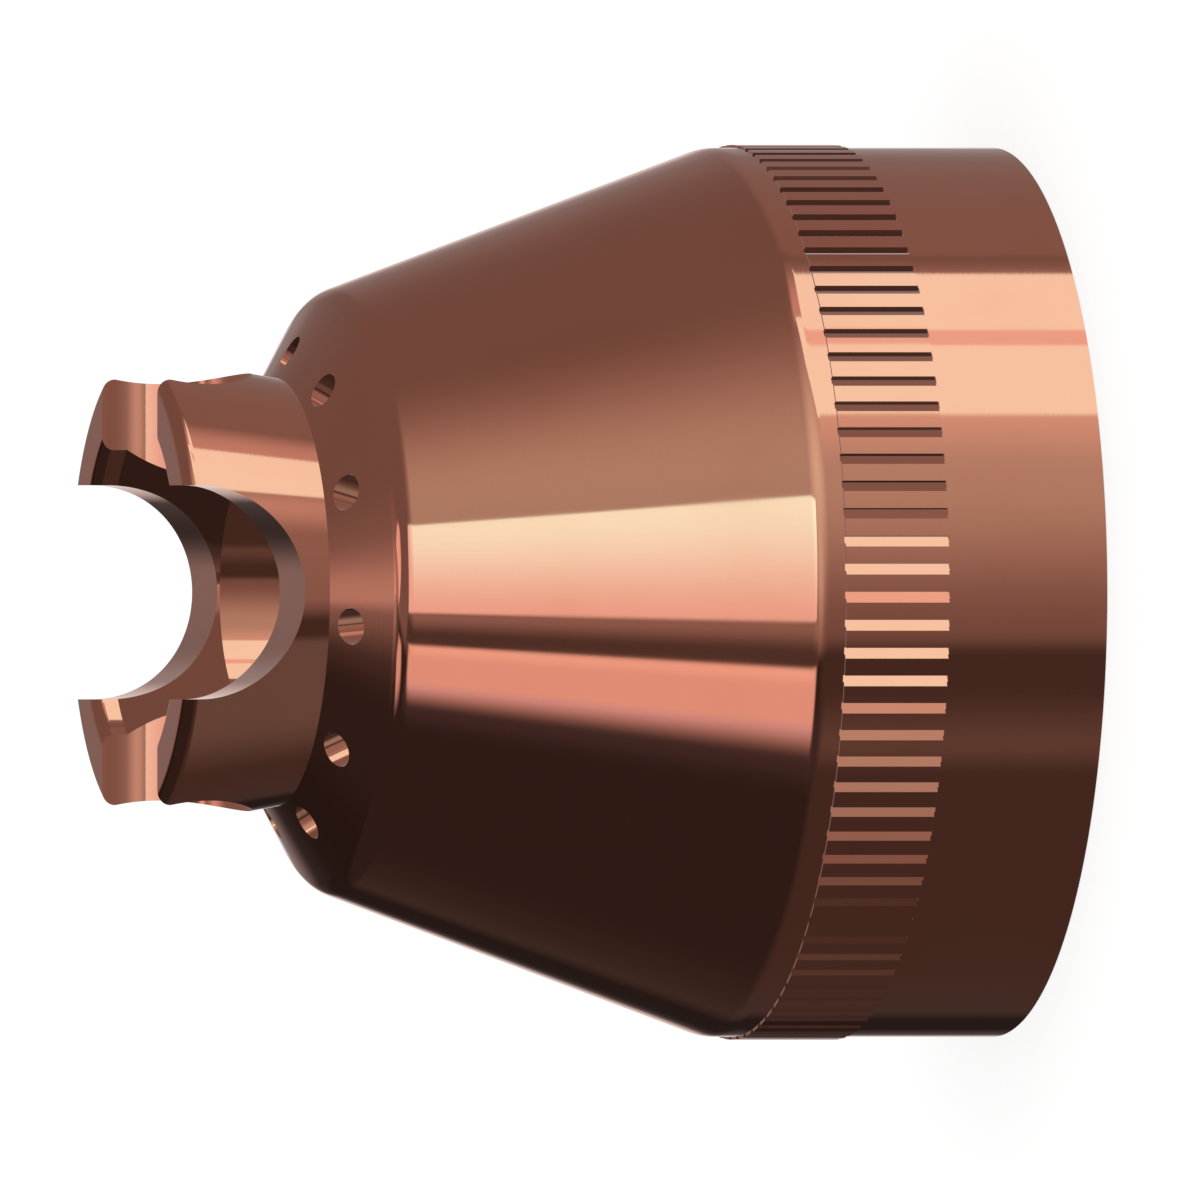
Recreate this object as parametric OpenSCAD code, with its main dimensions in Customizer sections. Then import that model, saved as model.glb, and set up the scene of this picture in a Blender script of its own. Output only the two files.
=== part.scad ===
// Torch shield: one turned copper cap with a slotted crown, vent holes and a threaded skirt.
// Millimetres. The axis is Z, the origin is the middle of the rear rim, the crown points up.

/* [Overall] */
// Length from the rear rim to the tips of the crown
length = 26.5; // [22:0.1:40]
// Half angle of the long outer cone, from the axis
cone_half_angle = 20; // [17:0.5:24]
// Half angle of the blunt nose face, from the axis
nose_half_angle = 59; // [50:0.5:70]
// Depth of the corner where the nose face meets the cone, below the crown tips
nose_corner_depth = 5.99; // [5.2:0.01:7]
// Diameter at that corner, before it is rounded
nose_corner_d = 17.84; // [16:0.01:20]
// Rounding between the nose face and the cone
nose_round = 1.05; // [0.2:0.05:3]
// Rounding between the cone and the skirt
shoulder_round = 1.4; // [0.2:0.05:3]

/* [Walls] */
// Metal around the thread, from the thread size to the outside of the skirt
skirt_wall = 1.19; // [0.8:0.01:2]
// Metal of the cone, square to its outside
cone_wall = 2.1; // [1.2:0.05:3]
// Metal of the nose, square to its face
nose_wall = 2.38; // [1:0.01:3]

/* [Grip band] */
// Plain land between the ribs and the rounding of the shoulder
shoulder_land = 0.51; // [0.1:0.01:1.5]
// Length of the grip band
grip_length = 3.16; // [1:0.01:5]
// How far the ribs stand above the skirt, in radius
grip_rise = 0.085; // [0.02:0.005:0.3]
// Number of grooves around the grip band
grip_count = 100; // [12:1:120]
// Width of one groove
grip_groove_w = 0.32; // [0.1:0.005:0.6]
// Slope of a groove's floor, from the top of one rib down to the foot of the next, degrees
grip_groove_slope = 35; // [15:1:50]
// How far a groove runs past each end of the ribs, into the skirt
grip_groove_run = 0.03; // [0.01:0.01:0.3]
// Turn of the first groove about the axis, degrees
grip_turn = 2.97; // [0:0.01:30]

/* [Crown] */
// Depth of the foot of the crown below its tips
crown_depth = 4.45; // [3.9:0.05:4.8]
// Lean of the outer wall of the crown, wider toward the tips, degrees
crown_lean = 10; // [5:0.5:15]
// Rounding of the outer edge of the crown tips
crown_edge_round = 0.386; // [0.1:0.005:0.5]
// Diameter of the mouth inside the crown
mouth_d = 10.56; // [8:0.01:11.2]
// Rounding of the inner edge of the crown tips
mouth_edge_round = 0.356; // [0.1:0.005:0.6]
// Depth at which the mouth starts to narrow
mouth_depth = 0.77; // [0.7:0.01:1.5]
// Half angle of the funnel between the mouth and the exit bore
funnel_half_angle = 30; // [24:1:45]
// Number of legs on the crown, always an even number
leg_count = 4; // [2:2:8]
// Width of the slots between the legs
slot_w = 6.35; // [3:0.05:7.2]
// Depth of the slots below the crown tips
slot_depth = 3.66; // [2:0.01:4.2]

/* [Gas path] */
// Diameter of the exit bore
exit_d = 7.15; // [3:0.01:8.5]
// Number of vent holes in the nose face
vent_count = 11; // [3:1:16]
// Diameter of a vent hole
vent_d = 1.08; // [0.5:0.01:1.6]
// Distance of the ring of vent holes from the foot of the crown, in radius
vent_offset = 0.77; // [0.65:0.01:1.2]

/* [Inside] */
// Thread size, outside diameter of the screw that fits
thread_d = 24; // [22:0.5:26]
// Thread pitch
thread_pitch = 1.5; // [0.75:0.25:2]
// Clearance in radius between the thread crests and the root of the screw
thread_gap = 0.05; // [0:0.01:0.15]
// Depth of the thread above the rear rim
thread_depth = 7.5; // [4:0.1:8.5]
// Size of the chamfer where the screw enters
lead_chamfer = 0.6; // [0.2:0.05:1.2]
// Length of the relief groove behind the thread
relief_length = 1.5; // [0.8:0.1:2.5]
// Depth of the relief groove beyond the thread size, in radius
relief_extra = 0.1; // [0:0.05:0.4]
// How far the pilot bore stands in from the thread crests, in radius
pilot_step = 0.34; // [0.1:0.01:0.6]
// Length of the pilot bore
pilot_length = 1.5; // [0.8:0.1:2]
// Rounding inside, where the cone meets the nose
inner_round = 0.8; // [0.2:0.05:1.5]

/* [Hidden] */
$fn = 96;
over = 1;
skirt_r = thread_d / 2 + skirt_wall;
rib_r = skirt_r + grip_rise;
mouth_r = mouth_d / 2;
exit_r = exit_d / 2;
slot_r = slot_w / 2;
slot_centre_z = length - slot_depth + slot_r;
vent_pitch = 360 / vent_count;
vent_length = 2 * nose_wall + 2 * over;
grip_pitch = 360 / grip_count;
grip_groove_depth = grip_groove_w * tan(grip_groove_slope);

// Corners of the outside, each as [radius, height]
nose_corner = [nose_corner_d / 2, length - nose_corner_depth];
shoulder_corner = [skirt_r, cone_height(skirt_r)];
crown_foot = [nose_radius(length - crown_depth), length - crown_depth];
crown_top = [crown_foot[0] + crown_depth * tan(crown_lean), length];

// Directions along the outside walls, pointing up toward the tips
along_skirt = [0, 1];
along_cone = [-sin(cone_half_angle), cos(cone_half_angle)];
along_nose = [-sin(nose_half_angle), cos(nose_half_angle)];
along_crown = [sin(crown_lean), cos(crown_lean)];
inward = [-1, 0];

// Ends of the grip band, below the rounding of the shoulder
grip_end = round_start(shoulder_corner, along_skirt, along_cone, shoulder_round)[1] - shoulder_land;
grip_start = grip_end - grip_length;

// Thread crests, relief groove and pilot bore, from the rear rim inward
crest_r = thread_d / 2 - 0.5413 * thread_pitch + thread_gap;
relief_r = thread_d / 2 + relief_extra;
relief_end = thread_depth + relief_length;
pilot_r = crest_r - pilot_step;
pilot_end = relief_end + pilot_length;

// The inner cone and the inner nose face lie one wall inside the outer ones
cone_inset = cone_wall / cos(cone_half_angle);
nose_inset = nose_wall / sin(nose_half_angle);
seat_r = cone_radius(pilot_end) - cone_inset;
exit_end = nose_height(exit_r) - nose_inset;
inner_corner_z = (cone_radius(0) - cone_inset - nose_radius(0) + nose_inset * tan(nose_half_angle))
    / (tan(cone_half_angle) - tan(nose_half_angle));
inner_corner = [cone_radius(inner_corner_z) - cone_inset, inner_corner_z];
funnel_end = length - mouth_depth - (mouth_r - exit_r) / tan(funnel_half_angle);

// Where the vent holes open on the nose face
vent_r = crown_foot[0] + vent_offset;
vent_z = nose_height(vent_r);

// Radius of the outer cone at a height, and height at a radius
function cone_radius(z) = nose_corner[0] + (nose_corner[1] - z) * tan(cone_half_angle);
function cone_height(r) = nose_corner[1] + (nose_corner[0] - r) / tan(cone_half_angle);

// Radius of the nose face at a height, and height at a radius
function nose_radius(z) = nose_corner[0] + (nose_corner[1] - z) * tan(nose_half_angle);
function nose_height(r) = nose_corner[1] + (nose_corner[0] - r) / tan(nose_half_angle);

// Distance from a corner to where its rounding begins, for two directions along the walls
function setback(a, b, r) = r * tan(acos(a * b) / 2);

// Point on the wall before the corner
function round_start(c, a, b, r) = c - setback(a, b, r) * a;

// Point on the wall after the corner
function round_stop(c, a, b, r) = c + setback(a, b, r) * b;

// Centre of the rounding, with the metal on the left when walking up the wall
function round_centre(c, a, b, r) = round_start(c, a, b, r) + r * [-a[1], a[0]];

// Disc that rounds one corner
module corner_disc(c, a, b, r) {
    translate(round_centre(c, a, b, r))
        circle(r = r);
}

// Half section of the outside, as if it were solid
module outside_section() {
    polygon([
        [0, 0],
        [skirt_r, 0],
        round_start(shoulder_corner, along_skirt, along_cone, shoulder_round),
        round_stop(shoulder_corner, along_skirt, along_cone, shoulder_round),
        round_start(nose_corner, along_cone, along_nose, nose_round),
        round_stop(nose_corner, along_cone, along_nose, nose_round),
        crown_foot,
        round_start(crown_top, along_crown, inward, crown_edge_round),
        round_stop(crown_top, along_crown, inward, crown_edge_round),
        [0, length]
    ]);
    corner_disc(shoulder_corner, along_skirt, along_cone, shoulder_round);
    corner_disc(nose_corner, along_cone, along_nose, nose_round);
    corner_disc(crown_top, along_crown, inward, crown_edge_round);
}

// Half section of the cavity, from the rear rim to the inner end of the exit bore
module cavity_section() {
    polygon([
        [0, -over],
        [crest_r + lead_chamfer + over, -over],
        [crest_r, lead_chamfer],
        [crest_r, thread_depth],
        [relief_r, thread_depth],
        [relief_r, relief_end],
        [pilot_r, relief_end],
        [pilot_r, pilot_end],
        [seat_r, pilot_end],
        round_start(inner_corner, along_cone, along_nose, inner_round),
        round_stop(inner_corner, along_cone, along_nose, inner_round),
        [exit_r, exit_end],
        [0, exit_end]
    ]);
    corner_disc(inner_corner, along_cone, along_nose, inner_round);
}

// Half section of the exit bore, the funnel and the mouth of the crown
module mouth_section() {
    difference() {
        polygon([
            [0, exit_end - over],
            [exit_r, exit_end - over],
            [exit_r, funnel_end],
            [mouth_r, length - mouth_depth],
            [mouth_r, length - mouth_edge_round],
            [mouth_r + mouth_edge_round, length],
            [mouth_r + mouth_edge_round, length + over],
            [0, length + over]
        ]);
        translate([mouth_r + mouth_edge_round, length - mouth_edge_round])
            circle(r = mouth_edge_round);
    }
}

// Section of one groove: a floor that slopes down to a steep wall, as on a ratchet
module grip_groove_section() {
    polygon([
        [rib_r - grip_groove_depth, grip_groove_w / 2],
        [rib_r + grip_groove_depth, -3 * grip_groove_w / 2],
        [rib_r + grip_groove_depth, grip_groove_w / 2]
    ]);
}

// Ring of grooves that makes the grip band
module grip_grooves() {
    for (i = [0 : grip_count - 1])
        rotate([0, 0, grip_turn + i * grip_pitch])
            translate([0, 0, grip_start - grip_groove_run])
                linear_extrude(height = grip_length + 2 * grip_groove_run)
                    grip_groove_section();
}

// Slots that divide the crown into legs
module crown_slots() {
    for (i = [0 : leg_count / 2 - 1])
        rotate([0, 0, i * 360 / leg_count])
            translate([0, 0, slot_centre_z]) {
                rotate([0, 90, 0])
                    cylinder(r = slot_r, h = 2 * skirt_r, center = true);
                translate([-skirt_r, -slot_r, 0])
                    cube([2 * skirt_r, slot_w, length]);
            }
}

// Vent holes, each drilled square to the nose face
module vent_holes() {
    for (i = [0 : vent_count - 1])
        rotate([0, 0, i * vent_pitch])
            translate([vent_r, 0, vent_z])
                rotate([0, 90 - nose_half_angle, 0])
                    cylinder(d = vent_d, h = vent_length, center = true);
}

module shield() {
    color([0.86, 0.56, 0.42])
        difference() {
            union() {
                rotate_extrude()
                    outside_section();
                translate([0, 0, grip_start])
                    cylinder(r = rib_r, h = grip_length);
            }
            rotate_extrude()
                cavity_section();
            rotate_extrude()
                mouth_section();
            grip_grooves();
            crown_slots();
            vent_holes();
        }
}

shield();
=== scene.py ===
from math import acos, ceil, cos, pi, radians, sin, tan

import bmesh
import bpy
import numpy as np
from mathutils import Matrix, Vector


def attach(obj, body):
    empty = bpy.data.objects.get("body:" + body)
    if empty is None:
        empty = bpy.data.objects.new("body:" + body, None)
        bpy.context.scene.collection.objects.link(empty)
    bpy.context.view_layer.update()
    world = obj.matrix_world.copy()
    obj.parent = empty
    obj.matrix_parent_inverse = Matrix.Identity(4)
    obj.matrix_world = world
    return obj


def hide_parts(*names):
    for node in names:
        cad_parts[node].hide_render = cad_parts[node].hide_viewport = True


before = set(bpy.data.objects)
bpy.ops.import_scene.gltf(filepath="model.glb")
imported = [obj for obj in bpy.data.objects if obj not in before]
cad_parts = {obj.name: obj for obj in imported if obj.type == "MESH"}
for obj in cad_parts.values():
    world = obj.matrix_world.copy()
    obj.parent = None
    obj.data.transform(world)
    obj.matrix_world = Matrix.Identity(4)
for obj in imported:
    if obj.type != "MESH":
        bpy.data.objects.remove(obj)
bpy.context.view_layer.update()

MM = 0.001

# The torch shield's sizes in millimetres and degrees, as the CAD part has them. Only the groove slope
# differs, which is 35 there: at 36.5 the grooves mirror what they mirror in the photograph.
LENGTH = 26.5
CONE_HALF_ANGLE = 20
NOSE_HALF_ANGLE = 59
NOSE_CORNER = (17.84 / 2, LENGTH - 5.99)
NOSE_ROUND = 1.05
SHOULDER_ROUND = 1.4
SKIRT_WALL = 1.19
CONE_WALL = 2.1
NOSE_WALL = 2.38
SHOULDER_LAND = 0.51
GRIP_LENGTH = 3.16
GRIP_RISE = 0.085
GRIP_COUNT = 100
GROOVE_WIDTH = 0.32
GROOVE_SLOPE = 36.5
GROOVE_RUN = 0.03
GRIP_TURN = 2.97
CROWN_DEPTH = 4.45
CROWN_LEAN = 10
CROWN_EDGE_ROUND = 0.386
MOUTH_R = 10.56 / 2
MOUTH_EDGE_ROUND = 0.356
MOUTH_DEPTH = 0.77
FUNNEL_HALF_ANGLE = 30
SLOT_R = 6.35 / 2
SLOT_DEPTH = 3.66
EXIT_R = 7.15 / 2
VENT_COUNT = 11
VENT_R = 1.08 / 2
VENT_OFFSET = 0.77
THREAD_D = 24
PITCH = 1.5
THREAD_GAP = 0.05
THREAD_DEPTH = 7.5
LEAD_CHAMFER = 0.6
RELIEF_LENGTH = 1.5
RELIEF_EXTRA = 0.1
PILOT_STEP = 0.34
PILOT_LENGTH = 1.5
INNER_ROUND = 0.8

# Form of a metric thread: its height, the flat on its crests and the angle of its flanks
THREAD_HEIGHT = 0.5413 * PITCH
CREST_FLAT = PITCH / 4
FLANK_ANGLE = radians(30)

# How finely the mesh is made
COLUMNS = 500
ARC_STEP = radians(3)
DRILL_SIDES = 72
SLOT_STEPS = 91

# How far cutters run past what they cut, and how near each other two points are one
OVER = 1
WELD = 1e-4

# Turns of thread that are worked out past the rear rim, where they are cut off
TURNS_PAST_RIM = 2

# How near a face has to lie to a true surface, and how well it has to face along, to take its normals
FACET_GAP = 0.02
FACET_COSINE = 0.98

# Copper where it is bright and where it is tarnished, its least and greatest roughness, its lathe rings
# with their height in millimetres, and its smears with the noise levels between which they come in. The
# colours are fitted to the photograph's middle tones and are redder than bare copper.
COPPER = (0.935, 0.34, 0.226)
TARNISHED_COPPER = (0.915, 0.325, 0.212)
GLOSS = (0.04, 0.06)
RINGS_PER_MM = 9
RING_HEIGHT = 0.0003
SMEARS_PER_MM = 0.3
TARNISH_LEVELS = (0.4, 0.8)
GLOSS_LEVELS = (0.3, 0.7)

# Floor and dome, in metres. The floor lies a hair below the rim that stands on it, and its glow is what
# the camera alone sees of it.
FLOOR_HALF = 2.0
FLOOR_DROP = 0.00002
FLOOR_COLOUR = (0.3, 0.3, 0.3)
FLOOR_GLOW = (0.76, 0.76, 0.76)
DOME_R = 10
DOME_COLUMNS = 64
DOME_ROWS = 32

# The photograph's view: its elevation in degrees, its distance and the nearest that it sees in metres,
# then the height that it aims at, its shift across the axis and its width in millimetres
CAMERA_ELEVATION = 15
CAMERA_DISTANCE = 0.5
CAMERA_NEAR = 0.001
AIM_Z = 12.05
FRAME_SHIFT_X = -0.228
FRAME_WIDTH = 35.604

# Sizes that follow from the ones above
SKIRT_R = THREAD_D / 2 + SKIRT_WALL
RIB_R = SKIRT_R + GRIP_RISE
CREST_R = THREAD_D / 2 - THREAD_HEIGHT + THREAD_GAP
ROOT_R = THREAD_D / 2 + THREAD_GAP
RELIEF_R = THREAD_D / 2 + RELIEF_EXTRA
RELIEF_END = THREAD_DEPTH + RELIEF_LENGTH
PILOT_R = CREST_R - PILOT_STEP
PILOT_END = RELIEF_END + PILOT_LENGTH
SLOT_CENTRE_Z = LENGTH - SLOT_DEPTH + SLOT_R
GROOVE_DEPTH = GROOVE_WIDTH * tan(radians(GROOVE_SLOPE))
FLANK = (ROOT_R - CREST_R) * tan(FLANK_ANGLE)
ROOT_FLAT = PITCH - CREST_FLAT - 2 * FLANK


def wall_radius(z, half_angle):
    """Radius at a height of the outer wall that passes through the nose corner."""
    return NOSE_CORNER[0] + (NOSE_CORNER[1] - z) * tan(radians(half_angle))


def wall_height(r, half_angle):
    """Height at a radius of that wall."""
    return NOSE_CORNER[1] + (NOSE_CORNER[0] - r) / tan(radians(half_angle))


CONE_INSET = CONE_WALL / cos(radians(CONE_HALF_ANGLE))
NOSE_INSET = NOSE_WALL / sin(radians(NOSE_HALF_ANGLE))
SHOULDER = (SKIRT_R, wall_height(SKIRT_R, CONE_HALF_ANGLE))
SHOULDER_SETBACK = SHOULDER_ROUND * tan(radians(CONE_HALF_ANGLE) / 2)
GRIP_END = SHOULDER[1] - SHOULDER_SETBACK - SHOULDER_LAND
GRIP_START = GRIP_END - GRIP_LENGTH
CROWN_FOOT = (wall_radius(LENGTH - CROWN_DEPTH, NOSE_HALF_ANGLE), LENGTH - CROWN_DEPTH)
CROWN_TOP = (CROWN_FOOT[0] + CROWN_DEPTH * tan(radians(CROWN_LEAN)), LENGTH)
SEAT_R = wall_radius(PILOT_END, CONE_HALF_ANGLE) - CONE_INSET
EXIT_END = wall_height(EXIT_R, NOSE_HALF_ANGLE) - NOSE_INSET
FUNNEL_END = LENGTH - MOUTH_DEPTH - (MOUTH_R - EXIT_R) / tan(radians(FUNNEL_HALF_ANGLE))
TAN_DIFFERENCE = tan(radians(CONE_HALF_ANGLE)) - tan(radians(NOSE_HALF_ANGLE))
INNER_Z = (wall_radius(0, CONE_HALF_ANGLE) - CONE_INSET - wall_radius(0, NOSE_HALF_ANGLE)
           + NOSE_INSET * tan(radians(NOSE_HALF_ANGLE))) / TAN_DIFFERENCE
INNER_CORNER = (wall_radius(INNER_Z, CONE_HALF_ANGLE) - CONE_INSET, INNER_Z)
VENT_PLACE = (CROWN_FOOT[0] + VENT_OFFSET, wall_height(CROWN_FOOT[0] + VENT_OFFSET, NOSE_HALF_ANGLE))


def section_corners():
    """Corners of the half section as (radius, height, rounding), from the rear rim round to the thread."""
    return [
        (SKIRT_R, 0, 0),
        (SKIRT_R, GRIP_START, 0),
        (RIB_R, GRIP_START, 0),
        (RIB_R, GRIP_END, 0),
        (SKIRT_R, GRIP_END, 0),
        (*SHOULDER, SHOULDER_ROUND),
        (*NOSE_CORNER, NOSE_ROUND),
        (*CROWN_FOOT, 0),
        (*CROWN_TOP, CROWN_EDGE_ROUND),
        (MOUTH_R, LENGTH, MOUTH_EDGE_ROUND),
        (MOUTH_R, LENGTH - MOUTH_DEPTH, 0),
        (EXIT_R, FUNNEL_END, 0),
        (EXIT_R, EXIT_END, 0),
        (*INNER_CORNER, INNER_ROUND),
        (SEAT_R, PILOT_END, 0),
        (PILOT_R, PILOT_END, 0),
        (PILOT_R, RELIEF_END, 0),
        (RELIEF_R, RELIEF_END, 0),
        (RELIEF_R, THREAD_DEPTH, 0),
        (CREST_R, THREAD_DEPTH, 0),
        (CREST_R, LEAD_CHAMFER, 0),
        (CREST_R + LEAD_CHAMFER, 0, 0),
    ]


def unit(v):
    """A vector's direction, as a vector of length 1."""
    return v / np.linalg.norm(v)


def rounding_at(corners, i):
    """Centre, side, start and turn of the rounding at one corner of the section."""
    before = unit(corners[i][:2] - corners[i - 1][:2])
    after = unit(corners[i + 1][:2] - corners[i][:2])
    side = np.sign(before[0] * after[1] - before[1] * after[0])
    turn = acos(before @ after)
    start = corners[i][:2] - corners[i][2] * tan(turn / 2) * before
    centre = start + side * corners[i][2] * np.array([-before[1], before[0]])
    return centre, side, start, turn


def section_path():
    """Points of the section, with roundings as short steps. The thread replaces its last three corners."""
    corners = np.array(section_corners())
    path = []
    for i, corner in enumerate(corners[:-3]):
        if corner[2] == 0:
            path.append(corner[:2])
            continue
        centre, side, start, turn = rounding_at(corners, i)
        steps = ceil(turn / ARC_STEP)
        for k in range(steps + 1):
            a = side * turn * k / steps
            swing = np.array([[cos(a), -sin(a)], [sin(a), cos(a)]])
            path.append(centre + swing @ (start - centre))
    return path


def thread_path(angle):
    """The section of the internal thread at one angle about the axis, from its far end to the rear rim."""
    rows = []
    for k in range(int(THREAD_DEPTH / PITCH) + 1, -TURNS_PAST_RIM - 1, -1):
        foot = (k + angle / (2 * pi)) * PITCH
        rows += [(CREST_R, foot + PITCH), (ROOT_R, foot + CREST_FLAT + FLANK + ROOT_FLAT),
                 (ROOT_R, foot + CREST_FLAT + FLANK), (CREST_R, foot + CREST_FLAT)]
    radii, heights = np.array(rows[::-1]).T
    ends = np.clip(heights, 0, THREAD_DEPTH)
    return list(zip(np.interp(ends, heights, radii), ends))[::-1]


def turned_blank():
    """The turned shield with its thread, before any cuts, as a closed mesh in millimetres."""
    path = section_path()
    verts, faces = [], []
    for j in range(COLUMNS + 1):
        angle = 2 * pi * j / COLUMNS
        verts += [(r * cos(angle), r * sin(angle), z) for r, z in path + thread_path(angle)]
    count = len(verts) // (COLUMNS + 1)
    for j in range(COLUMNS):
        for i in range(count):
            k = (i + 1) % count
            faces.append((j * count + i, (j + 1) * count + i, (j + 1) * count + k, j * count + k))
    mesh = bpy.data.meshes.new("blank")
    mesh.from_pydata(verts, [], faces)
    bm = bmesh.new()
    bm.from_mesh(mesh)
    bmesh.ops.remove_doubles(bm, verts=bm.verts, dist=WELD)
    bmesh.ops.dissolve_degenerate(bm, edges=bm.edges, dist=WELD)
    bm.to_mesh(mesh)
    bm.free()
    return mesh


def about_axis(angle):
    """Turn about the shield's own axis, in radians."""
    return Matrix.Rotation(angle, 4, "Z")


def add_prism(bm, place, section, low, high):
    """Prism over a section listed counterclockwise, between two heights of its own place."""
    ends = [[bm.verts.new(place @ Vector((x, y, z))) for x, y in section] for z in (low, high)]
    bm.faces.new(ends[0][::-1])
    bm.faces.new(ends[1])
    for i in range(len(section)):
        bm.faces.new((ends[0][i - 1], ends[0][i], ends[1][i], ends[1][i - 1]))


def lead_cutter(bm):
    """Cone that chamfers the mouth of the thread."""
    height = LEAD_CHAMFER + OVER
    bmesh.ops.create_cone(bm, cap_ends=True, segments=COLUMNS, radius1=CREST_R + height, radius2=CREST_R,
                          depth=height, matrix=Matrix.Translation((0, 0, LEAD_CHAMFER - height / 2)))


def groove_cutter(bm):
    """Wedges that cut the ratchet grooves of the grip band, each twice as deep and wide as its groove."""
    steep_side = GROOVE_WIDTH / 2
    section = [(RIB_R - GROOVE_DEPTH, steep_side), (RIB_R + GROOVE_DEPTH, steep_side - 2 * GROOVE_WIDTH),
               (RIB_R + GROOVE_DEPTH, steep_side)]
    for i in range(GRIP_COUNT):
        turn = about_axis(radians(GRIP_TURN) + 2 * pi * i / GRIP_COUNT)
        add_prism(bm, turn, section, GRIP_START - GROOVE_RUN, GRIP_END + GROOVE_RUN)


def slot_cutter(bm, angle):
    """Bar with a round underside that cuts one slot across the crown."""
    arc = np.linspace(pi, 2 * pi, SLOT_STEPS)
    section = [(SLOT_R * cos(a), SLOT_CENTRE_Z + SLOT_R * sin(a)) for a in arc]
    section += [(SLOT_R, LENGTH + OVER), (-SLOT_R, LENGTH + OVER)]
    across = Matrix(((0, 0, 1, 0), (1, 0, 0, 0), (0, 1, 0, 0), (0, 0, 0, 1)))
    add_prism(bm, about_axis(angle) @ across, section, -RIB_R, RIB_R)


def vent_frame(i):
    """Place of one vent hole: its own Z runs out of the nose face along the hole."""
    lean = Matrix.Rotation(pi / 2 - radians(NOSE_HALF_ANGLE), 4, "Y")
    return about_axis(2 * pi * i / VENT_COUNT) @ Matrix.Translation((VENT_PLACE[0], 0, VENT_PLACE[1])) @ lean


def vent_cutter(bm):
    """Drills for the vent holes."""
    for i in range(VENT_COUNT):
        bmesh.ops.create_cone(bm, cap_ends=True, segments=DRILL_SIDES, radius1=VENT_R, radius2=VENT_R,
                              depth=2 * NOSE_WALL + 2 * OVER, matrix=vent_frame(i))


def cut(piece, make_cutter, *sizes):
    """Cuts a piece with the shape that a function makes."""
    bm = bmesh.new()
    make_cutter(bm, *sizes)
    mesh = bpy.data.meshes.new("cutter")
    bm.to_mesh(mesh)
    bm.free()
    tool = bpy.data.objects.new("cutter", mesh)
    bpy.context.scene.collection.objects.link(tool)
    boolean = piece.modifiers.new("cut", "BOOLEAN")
    boolean.operation = "DIFFERENCE"
    boolean.solver = "MANIFOLD"
    boolean.object = tool
    result = bpy.data.meshes.new_from_object(piece.evaluated_get(bpy.context.evaluated_depsgraph_get()))
    piece.modifiers.clear()
    piece.data = result
    bpy.data.objects.remove(tool)


def revolved(points, section_normal):
    """Normals in space of surfaces turned about Z, from their normals in the section."""
    r = np.hypot(points[:, 0], points[:, 1])
    n = np.broadcast_to(section_normal, (len(points), 2))
    return np.stack([n[:, 0] * points[:, 0] / r, n[:, 0] * points[:, 1] / r, n[:, 1]], 1)


def wall_surface(p, q):
    """Surface turned from a straight stretch of the section."""
    along = unit(q - p)
    outward = np.array([along[1], -along[0]])

    def surface(points):
        offset = np.stack([np.hypot(points[:, 0], points[:, 1]), points[:, 2]], 1) - p
        run = offset @ along
        beyond = np.maximum(0, np.maximum(-run, run - np.linalg.norm(q - p)))
        return np.abs(offset @ outward) + beyond, revolved(points, outward)
    return surface


def round_surface(centre, side, radius):
    """Surface turned from a rounding of the section."""
    def surface(points):
        spoke = np.stack([np.hypot(points[:, 0], points[:, 1]), points[:, 2]], 1) - centre
        reach = np.linalg.norm(spoke, axis=1, keepdims=True)
        return np.abs(reach[:, 0] - radius), revolved(points, side * spoke / reach)
    return surface


def bored_surface(place, radius):
    """Wall of a round hole along the Z of a place."""
    start = np.array(place.translation)
    axis = np.array(place.to_3x3() @ Vector((0, 0, 1)))

    def surface(points):
        spoke = points - start
        spoke = spoke - np.outer(spoke @ axis, axis)
        reach = np.linalg.norm(spoke, axis=1, keepdims=True)
        return np.abs(reach[:, 0] - radius), -spoke / reach
    return surface


def flank_surface(side):
    """Flanks of the thread that face up or down."""
    def surface(points):
        r = np.hypot(points[:, 0], points[:, 1])
        inside = (r > CREST_R - WELD) & (r < ROOT_R + WELD) & (points[:, 2] < THREAD_DEPTH + WELD)
        x, y = points[:, 0] / r, points[:, 1] / r
        lean, lead = tan(FLANK_ANGLE), side * PITCH / (2 * pi * r)
        normals = np.stack([-lean * x + lead * y, -lean * y - lead * x, np.full(len(r), float(side))], 1)
        return np.where(inside, 0.0, LENGTH), normals / np.linalg.norm(normals, axis=1, keepdims=True)
    return surface


def true_surfaces():
    """Every curved surface of the shield, as a function from points to distances and normals."""
    corners = np.array(section_corners())
    found = [wall_surface(corners[i - 1][:2], corners[i][:2]) for i in range(len(corners))]
    found += [wall_surface(np.array([ROOT_R, THREAD_DEPTH]), np.array([ROOT_R, 0]))]
    for i in np.flatnonzero(corners[:, 2]):
        centre, side, _, _ = rounding_at(corners, i)
        found.append(round_surface(centre, side, corners[i][2]))
    for angle in (0, pi / 2):
        bar = about_axis(angle) @ Matrix.Translation((0, 0, SLOT_CENTRE_Z)) @ Matrix.Rotation(pi / 2, 4, "Y")
        found.append(bored_surface(bar, SLOT_R))
    found += [bored_surface(vent_frame(i), VENT_R) for i in range(VENT_COUNT)]
    return found + [flank_surface(1), flank_surface(-1)]


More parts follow.
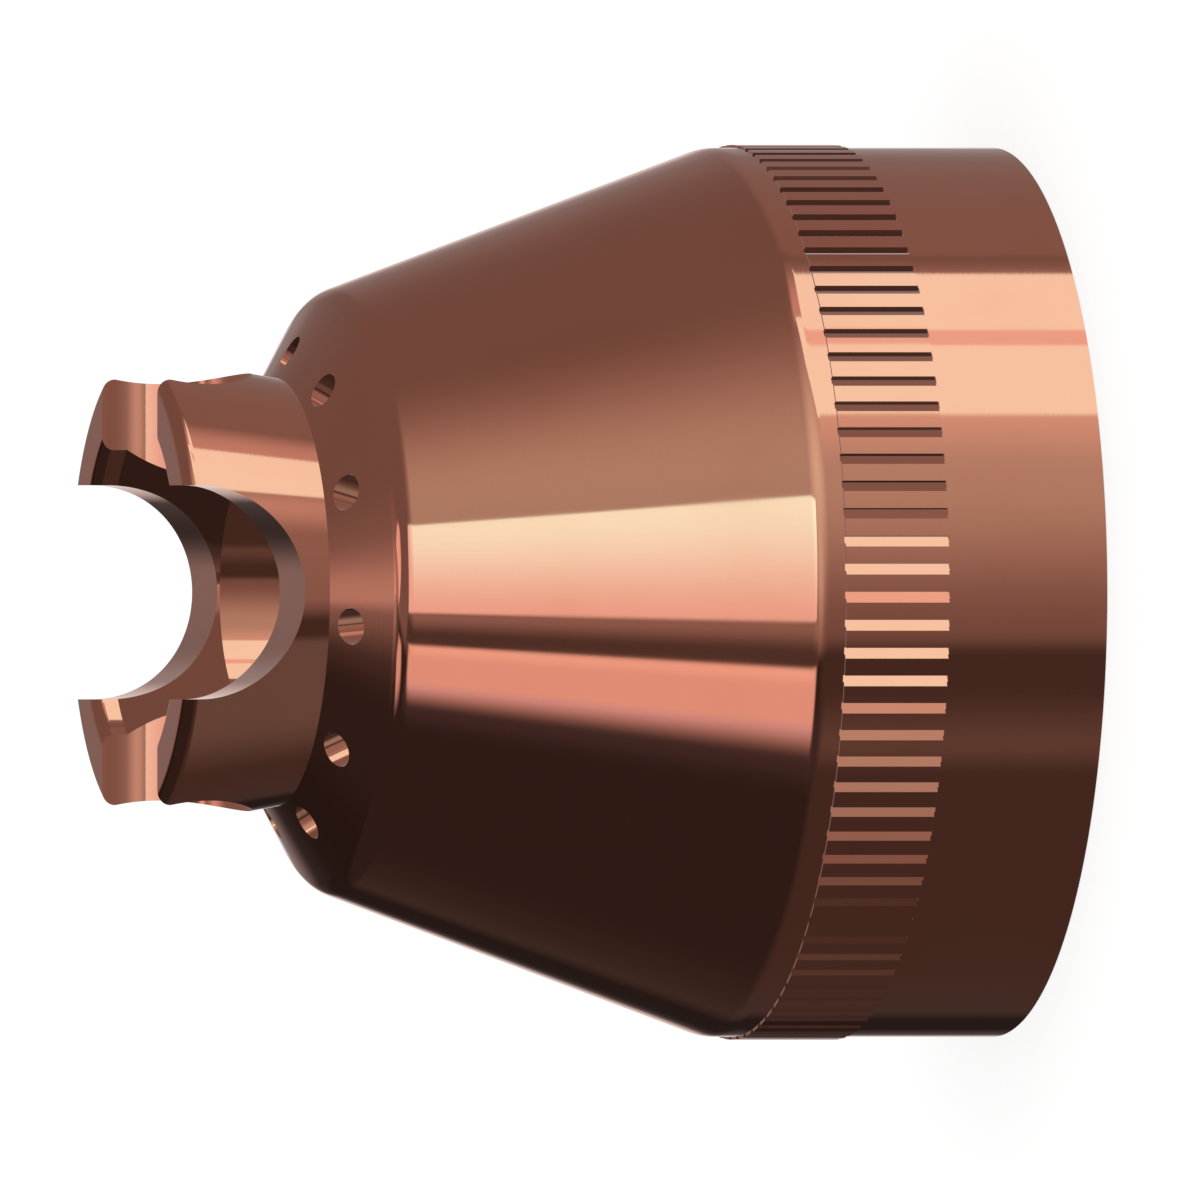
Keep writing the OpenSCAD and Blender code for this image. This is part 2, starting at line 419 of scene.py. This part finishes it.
def true_normals(mesh):
    """Gives each face the normals of the surface that it lies on, so that facets don't show."""
    faces = len(mesh.polygons)
    middles, flat = np.zeros(faces * 3), np.zeros(faces * 3)
    mesh.polygons.foreach_get("center", middles)
    mesh.polygons.foreach_get("normal", flat)
    middles, flat = middles.reshape(-1, 3), flat.reshape(-1, 3)
    points = np.zeros(len(mesh.vertices) * 3)
    mesh.vertices.foreach_get("co", points)
    corner_vertex = np.zeros(len(mesh.loops), int)
    mesh.loops.foreach_get("vertex_index", corner_vertex)
    points = points.reshape(-1, 3)[corner_vertex]
    sizes = np.zeros(faces, int)
    mesh.polygons.foreach_get("loop_total", sizes)
    corner_face = np.repeat(np.arange(faces), sizes)
    normals = flat[corner_face]
    best = np.full(faces, FACET_GAP)
    for surface in true_surfaces():
        distance, direction = surface(middles)
        chosen = (distance < best) & (np.sum(direction * flat, 1) > FACET_COSINE)
        best[chosen] = distance[chosen]
        corners = chosen[corner_face]
        normals[corners] = surface(points[corners])[1]
    mesh.shade_smooth()
    mesh.normals_split_custom_set(normals.tolist())


def shield_piece():
    """The shield as one detailed mesh, which stands for its CAD node."""
    piece = bpy.data.objects.new("turned_shield", turned_blank())
    bpy.context.scene.collection.objects.link(piece)
    cut(piece, lead_cutter)
    cut(piece, groove_cutter)
    cut(piece, slot_cutter, 0)
    cut(piece, slot_cutter, pi / 2)
    cut(piece, vent_cutter)
    true_normals(piece.data)
    piece.data.transform(Matrix.Scale(MM, 4))
    return piece


class Sums:
    """Writes arithmetic on shader sockets and numbers as nodes."""

    def __init__(self, tree):
        self.tree = tree

    def set(self, socket, value):
        """Links a socket to another one, or gives it a number."""
        if isinstance(value, bpy.types.NodeSocket):
            self.tree.links.new(value, socket)
        else:
            socket.default_value = value

    def maths(self, operation, *values):
        """Sum on numbers."""
        node = self.tree.nodes.new("ShaderNodeMath")
        node.operation = operation
        for socket, value in zip(node.inputs, values):
            self.set(socket, value)
        return node.outputs[0]

    def vector(self, operation, *values, output=0):
        """Sum on vectors."""
        node = self.tree.nodes.new("ShaderNodeVectorMath")
        node.operation = operation
        for socket, value in zip(node.inputs, values):
            self.set(socket, value)
        return node.outputs[output]

    def split(self, vector):
        """The three parts of a vector."""
        node = self.tree.nodes.new("ShaderNodeSeparateXYZ")
        self.set(node.inputs[0], vector)
        return node.outputs

    def join(self, x, y, z):
        """A vector from its three parts."""
        node = self.tree.nodes.new("ShaderNodeCombineXYZ")
        for socket, value in zip(node.inputs, (x, y, z)):
            self.set(socket, value)
        return node.outputs[0]

    def ease(self, value, low, high, start=0, end=1):
        """Runs smoothly from start to end while the value goes from low to high."""
        node = self.tree.nodes.new("ShaderNodeMapRange")
        node.interpolation_type = "SMOOTHSTEP"
        for name, number in (("Value", value), ("From Min", low), ("From Max", high),
                             ("To Min", start), ("To Max", end)):
            self.set(node.inputs[name], number)
        return node.outputs[0]

    def noise(self, place, scale, detail):
        """Soft noise round 0.5."""
        node = self.tree.nodes.new("ShaderNodeTexNoise")
        self.set(node.inputs["Vector"], place)
        node.inputs["Scale"].default_value = scale
        node.inputs["Detail"].default_value = detail
        return node.outputs["Fac"]


def copper_material():
    """Bright turned copper, with the fine rings that the lathe leaves and faint smears from handling."""
    material = bpy.data.materials.new("turned_copper")
    material.use_nodes = True
    tree = material.node_tree
    sums = Sums(tree)
    coordinates = tree.nodes.new("ShaderNodeTexCoord")
    place = sums.vector("SCALE", coordinates.outputs["Object"])
    place.node.inputs["Scale"].default_value = 1 / MM
    x, y, z = sums.split(place)
    radius = sums.vector("LENGTH", sums.join(x, y, 0), output="Value")
    rings = sums.noise(sums.join(radius, 0, z), RINGS_PER_MM, detail=1)
    smears = sums.noise(place, SMEARS_PER_MM, detail=3)
    bump = tree.nodes.new("ShaderNodeBump")
    bump.inputs["Distance"].default_value = RING_HEIGHT * MM
    tree.links.new(rings, bump.inputs["Height"])
    tint = tree.nodes.new("ShaderNodeMix")
    tint.data_type = "RGBA"
    tint.inputs["A"].default_value = (*COPPER, 1)
    tint.inputs["B"].default_value = (*TARNISHED_COPPER, 1)
    shader = tree.nodes["Principled BSDF"]
    shader.inputs["Metallic"].default_value = 1
    tree.links.new(sums.ease(smears, *TARNISH_LEVELS), tint.inputs["Factor"])
    tree.links.new(tint.outputs["Result"], shader.inputs["Base Color"])
    tree.links.new(sums.ease(smears, *GLOSS_LEVELS, *GLOSS), shader.inputs["Roughness"])
    tree.links.new(bump.outputs[0], shader.inputs["Normal"])
    return material


# The studio round the shield, as bright metal mirrors it, is drawn on maps of directions in degrees. The
# front map has the azimuth from the photograph's side and the elevation, and the back map has the
# azimuth from the far side and the elevation. The dark room is the light where no panel is.
# The panels are a simplified drawing of the surroundings that the photograph's reflections
# show, so they are fitted to that one view. The brightest are tinted blue-green, because the
# photograph's highlights are paler than this copper mirrors white light.
MAP_HALF_WIDTH = 180
MAP_HALF_HEIGHT = 90
DARK_ROOM = (0.031, 0.032, 0.033)

# Each panel has its map, its corners counterclockwise, half the width of the soft rim along each side,
# its light as red, green and blue, and the glows on it. A glow has its centre on the front map, its
# reach to the left, right, down and up, and the light that it adds. A panel covers the ones before it.
PANELS = [
    # Right half of the room, and haze high in front
    ("front", [(-15, -95), (185, -95), (185, 100), (-15, 100)], [2, 2, 2, 4], (0.18, 0.18, 0.18), []),
    ("front", [(-26, 44), (0, 44), (0, 100), (-26, 100)], [3, 2, 2, 7], (0.2, 0.2, 0.2), []),
    # Low left half of the room, and a dark strip on its far side
    ("front", [(-185, -95), (-13, -95), (-13, 1), (-185, 1)],
     [2, 6, 8, 2], (0.06, 0.06, 0.06),
     [((-40, -18), (9, 16, 20, 20), (0.06, 0.06, 0.06))]),
    ("back", [(-36, -95), (-18, -95), (-18, 62), (-36, 62)], [2, 4, 6, 5], (0.02, 0.02, 0.02), []),
    # Low walls to the right and to the left
    ("front", [(90, -95), (185, -95), (185, -2), (90, -2)], [2, 2, 6, 6], (0.235, 0.235, 0.235), []),
    ("front", [(-100, -95), (-27, -95), (-27, -21), (-92, -21)],
     [2, 3, 6, 20], (0.14, 0.16, 0.16),
     [((-60, -66), (80, 70, 40, 30), (0.2, 0.3, 0.28))]),
    # Pale strips on the far side, with a lamp
    ("back", [(-10, -95), (13, -95), (13, 100), (-10, 100)], [2, 12, 2, 5], (0.23, 0.23, 0.23), []),
    ("back", [(6, -95), (19, -95), (19, 2), (6, 2)], [2, 6, 7, 6], (0.31, 0.31, 0.31), []),
    ("back", [(-5, -18), (5, -18), (13, -8.3), (-13.5, -8.3)], [4, 3, 3, 3], (0.74, 0.69, 0.65), []),
    # Wall to the right, with the light that falls on it
    ("front", [(8, -95), (98, -95), (98, 50), (-15.5, 50), (-15.5, 0)],
     [2, 2, 2, 4, 4], (0.18, 0.18, 0.18),
     [((33, 5), (52, 56, 44, 38), (0.46, 0.46, 0.45)),
      ((30, 4), (42, 46, 32, 38), (0.08, 0.32, 0.28)),
      ((1, 7), (22, 22, 14, 12), (0.24, 0.29, 0.27)),
      ((25, -50), (90, 90, 90, 42), (0.15, 0.15, 0.15)),
      ((50, -20), (20, 14, 36, 14), (0.4, 0.42, 0.4))]),
    ("front", [(72, -60), (97, -60), (87, 2), (74, 8)], [2, 9, 3, 2], (0.56, 0.54, 0.54), []),
    # Bright window to the right, with its bar
    ("front", [(63, -45), (76, -45), (75, 3.5), (60, 1.5), (46, -9), (46, -13)],
     [3, 0.4, 0.7, 0.7, 0.5, 0.7], (1.0, 1.57, 1.55), []),
    ("front", [(66, -45), (69, -45), (93, -13), (76, -8.5), (66, -8.5)],
     [3, 0.5, 0.8, 0.5, 0.6], (1.0, 1.55, 1.53), []),
    ("front", [(67.5, -24), (72.3, -24), (72.3, -8), (67.5, -8)], [3, 0.5, 0.5, 0.5], (0.9, 0.98, 0.98), []),
    # Windows in front and the bar between them
    ("front", [(-50, 2), (-32, 2), (-32, 46), (-50, 46)], [11, 5, 3, 6], (0.058, 0.061, 0.074), []),
    ("front", [(-38.7, 12.8), (-15, 12.8), (-15, 41), (-34, 41), (-41.7, 36)],
     [3.4, 1.2, 5, 5, 6], (0.8, 0.78, 0.78),
     [((-37.5, 24), (5, 3, 20, 16), (0, 0.03, 0.2)),
      ((-22, 24), (4, 3, 14, 14), (0.12, 0.16, 0.15))]),
    ("front", [(-19, 9), (-8, 12), (-9, 46), (-23.1, 50)],
     [4, 1.5, 4, 1], (0.08, 0.08, 0.08),
     [((-9, 8), (8, 9, 20, 50), (0.27, 0.27, 0.27))]),
    ("front", [(-7.5, 16), (24, 13.2), (29.2, 41), (20, 44), (-9, 45)],
     [0.6, 0.4, 2, 2, 0.7], (0.9, 1.0, 1.04),
     [((26, 9), (38, 20, 20, 38), (0.2, 1.65, 1.6))]),
    # Skylights
    ("front", [(-14, 73), (20, 70), (42, 63.5), (58, 71), (90, 80), (60, 82), (-14, 82)],
     [2, 2, 1.5, 1, 1, 3, 5], (0.85, 0.83, 0.8), []),
    ("front", [(-76, 64), (-50, 57), (-33, 66), (-40, 75), (-70, 76)],
     [7, 5, 3, 3, 6], (0.72, 0.7, 0.7), []),
]

# Glows over all panels, placed by the plan of the dome seen from above, in dome radii
TOP_GLOWS = [
    ((0, 0.05), (0.4, 0.4, 0.4, 0.4), (0.15, 0.15, 0.16)),
    ((0, 0.08), (0.24, 0.2, 0.17, 0.3), (0.31, 0.3, 0.3)),
]


def panel_mask(sums, place, outline, rims):
    """1 inside a panel, 0 outside it. A side that lies past the end of the map has no rim."""
    mask = 1.0
    for p, q, rim in zip(outline, outline[1:] + outline[:1], rims):
        middle = np.add(p, q) / 2
        if abs(middle[0]) > MAP_HALF_WIDTH or abs(middle[1]) > MAP_HALF_HEIGHT:
            continue
        along = unit(np.subtract(q, p).astype(float))
        across = (-along[1], along[0])
        line = (*across, -across[0] * p[0] - across[1] * p[1])
        depth = sums.vector("DOT_PRODUCT", place, line, output="Value")
        mask = sums.maths("MULTIPLY", sums.ease(depth, -rim, rim), mask)
    return mask


def glow(sums, u, v, centre, reach):
    """1 at a centre, fading to 0 at its reach."""
    ahead = sums.maths("SUBTRACT", u, centre[0])
    above = sums.maths("SUBTRACT", v, centre[1])
    u = sums.maths("MAXIMUM", sums.maths("DIVIDE", ahead, -reach[0]), sums.maths("DIVIDE", ahead, reach[1]))
    v = sums.maths("MAXIMUM", sums.maths("DIVIDE", above, -reach[2]), sums.maths("DIVIDE", above, reach[3]))
    far = sums.maths("SQRT", sums.maths("ADD", sums.maths("MULTIPLY", u, u), sums.maths("MULTIPLY", v, v)))
    return sums.ease(far, 0, 1, start=1, end=0)


def dome_material():
    """Light of the studio, by the direction in which a mirroring surface looks."""
    material = bpy.data.materials.new("studio")
    material.use_nodes = True
    material.cycles.emission_sampling = "NONE"
    tree = material.node_tree
    tree.nodes.clear()
    sums = Sums(tree)
    coordinates = tree.nodes.new("ShaderNodeTexCoord")
    x, y, z = sums.split(sums.vector("NORMALIZE", coordinates.outputs["Object"]))
    behind = sums.maths("DEGREES", sums.maths("ARCTAN2", x, y))
    azimuth = sums.maths("DEGREES", sums.maths("ARCTAN2", x, sums.maths("MULTIPLY", y, -1)))
    elevation = sums.maths("DEGREES", sums.maths("ARCSINE", z))
    places = {"front": sums.join(azimuth, elevation, 1), "back": sums.join(behind, elevation, 1)}
    light = DARK_ROOM
    for side, outline, rims, panel_light, glows in PANELS:
        for centre, reach, added in glows:
            share = glow(sums, azimuth, elevation, centre, reach)
            panel_light = sums.vector("MULTIPLY_ADD", share, added, panel_light)
        mask = panel_mask(sums, places[side], outline, rims)
        light = sums.vector("MULTIPLY_ADD", sums.vector("SUBTRACT", panel_light, light), mask, light)
    for centre, reach, added in TOP_GLOWS:
        light = sums.vector("MULTIPLY_ADD", glow(sums, x, y, centre, reach), added, light)
    emission = tree.nodes.new("ShaderNodeEmission")
    tree.links.new(light, emission.inputs["Color"])
    output = tree.nodes.new("ShaderNodeOutputMaterial")
    tree.links.new(emission.outputs[0], output.inputs[0])
    return material


def studio_dome():
    """Large dome that only mirror-like surfaces see."""
    mesh = bpy.data.meshes.new("studio_dome")
    bm = bmesh.new()
    bmesh.ops.create_uvsphere(bm, u_segments=DOME_COLUMNS, v_segments=DOME_ROWS, radius=DOME_R)
    bm.to_mesh(mesh)
    bm.free()
    dome = bpy.data.objects.new("studio_dome", mesh)
    bpy.context.scene.collection.objects.link(dome)
    dome.visible_camera = False
    dome.visible_diffuse = False
    dome.visible_shadow = False
    dome.visible_transmission = False
    dome.visible_volume_scatter = False
    mesh.materials.append(dome_material())


def floor():
    """White floor, on which only the object's soft shadow shows. It is clear from below and not mirrored."""
    mesh = bpy.data.meshes.new("floor")
    half = FLOOR_HALF
    corners = [(-half, -half, -FLOOR_DROP), (half, -half, -FLOOR_DROP), (half, half, -FLOOR_DROP),
               (-half, half, -FLOOR_DROP)]
    mesh.from_pydata(corners, [], [(0, 1, 2, 3)])
    obj = bpy.data.objects.new("floor", mesh)
    bpy.context.scene.collection.objects.link(obj)
    obj.visible_glossy = False
    material = bpy.data.materials.new("floor")
    material.use_nodes = True
    tree = material.node_tree
    shader = tree.nodes["Principled BSDF"]
    shader.inputs["Base Color"].default_value = (*FLOOR_COLOUR, 1)
    shader.inputs["Roughness"].default_value = 1
    shader.inputs["Specular IOR Level"].default_value = 0
    shader.inputs["Emission Color"].default_value = (*FLOOR_GLOW, 1)
    path = tree.nodes.new("ShaderNodeLightPath")
    tree.links.new(path.outputs["Is Camera Ray"], shader.inputs["Emission Strength"])
    geometry = tree.nodes.new("ShaderNodeNewGeometry")
    clear = tree.nodes.new("ShaderNodeBsdfTransparent")
    blend = tree.nodes.new("ShaderNodeMixShader")
    tree.links.new(geometry.outputs["Backfacing"], blend.inputs[0])
    tree.links.new(shader.outputs[0], blend.inputs[1])
    tree.links.new(clear.outputs[0], blend.inputs[2])
    tree.links.new(blend.outputs[0], tree.nodes["Material Output"].inputs["Surface"])
    mesh.materials.append(material)


def camera():
    """The photograph's view: from 15 degrees above the rear rim's plane, with the crown to the left."""
    data = bpy.data.cameras.new("camera")
    data.type = "ORTHO"
    data.ortho_scale = FRAME_WIDTH * MM
    data.clip_start = CAMERA_NEAR
    tilt = radians(CAMERA_ELEVATION)
    back = Vector((0, -cos(tilt), sin(tilt)))
    right = Vector((0, -sin(tilt), -cos(tilt)))
    up = Vector((1, 0, 0))
    turn = Matrix((right, up, back)).transposed().to_4x4()
    aim = Vector((FRAME_SHIFT_X, 0, AIM_Z)) * MM
    cam = bpy.data.objects.new("camera", data)
    bpy.context.scene.collection.objects.link(cam)
    cam.matrix_world = Matrix.Translation(aim + back * CAMERA_DISTANCE) @ turn
    bpy.context.scene.camera = cam


def white_world():
    """Even white light from everywhere, for the floor alone, as bright metal sees only the dome."""
    world = bpy.data.worlds.new("studio_light")
    world.use_nodes = True
    world.node_tree.nodes["Background"].inputs["Color"].default_value = (1, 1, 1, 1)
    bpy.context.scene.world = world


camera()
shield = shield_piece()
shield.data.materials.clear()
shield.data.materials.append(copper_material())

# The shield doesn't mirror itself, which comes nearer to the photograph
shield.visible_glossy = False
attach(shield, "root")
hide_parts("shield")
floor()
studio_dome()
white_world()
bpy.context.scene.view_settings.view_transform = "Standard"
